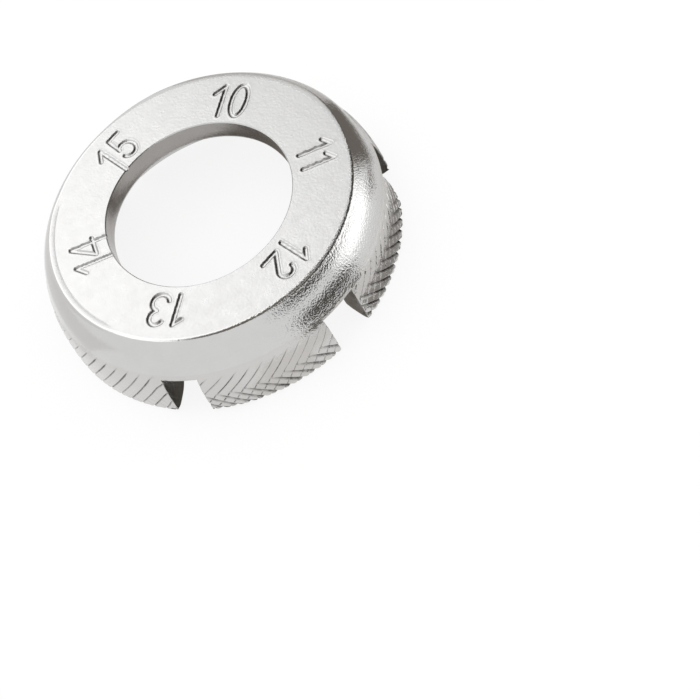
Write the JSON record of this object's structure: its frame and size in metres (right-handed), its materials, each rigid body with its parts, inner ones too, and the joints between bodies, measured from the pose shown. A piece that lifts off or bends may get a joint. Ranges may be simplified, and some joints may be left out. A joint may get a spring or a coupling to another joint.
{
  "type": "spoke wrench",
  "caption": "Ring-shaped bicycle spoke wrench: a cupped steel ring with a central bore, a knurled rim and slots of different widths, one for each nipple gauge.",
  "frame": {"origin": "on the bore's axis, in the plane that the rim's lowest ring rests on", "axes": "+Z along the bore's axis, out of the numbered face; +Y towards the slot for 10 gauge nipples; +X to the right of it seen from above"},
  "size_m": [0.042, 0.0418, 0.0102],
  "materials": {
    "plated_steel": "satin nickel plate over forged steel"
  },
  "bodies": {
    "root": {"wrench_ring": "plated_steel"}
  },
  "joints": []
}
